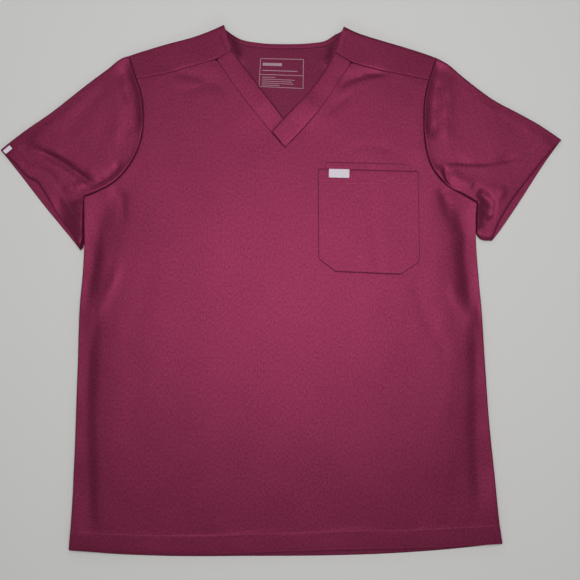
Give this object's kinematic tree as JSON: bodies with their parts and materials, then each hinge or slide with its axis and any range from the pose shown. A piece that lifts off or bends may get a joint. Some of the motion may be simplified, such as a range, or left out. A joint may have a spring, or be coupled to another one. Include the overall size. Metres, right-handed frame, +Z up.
{
  "type": "short-sleeved medical scrub top, laid flat",
  "caption": "Short-sleeved V-neck work top laid flat on its back, with crossed neck bands, folded-over shoulders, set-in sleeves and a chest pocket.",
  "frame": {"origin": "on the surface it lies on, under the middle of the back panel and near the middle of the outline", "axes": "+Z up, away from the surface; +Y to the neck; +X to the wearer's left"},
  "size_m": [0.7914, 0.7368, 0.0104],
  "materials": {
    "cloth": "fine heathered woven stretch cloth, wine red, soft sheen",
    "woven_label": "smooth pale grey woven label, bare"
  },
  "bodies": {
    "root": {"back": "cloth", "front": "cloth", "sleeve_left": "cloth", "sleeve_right": "cloth", "neck_band_left": "cloth", "neck_band_right": "cloth", "neck_facing": "cloth", "pocket": "cloth", "pocket_inner": "cloth", "pocket_label": "woven_label", "sleeve_tab": "woven_label"}
  },
  "joints": []
}
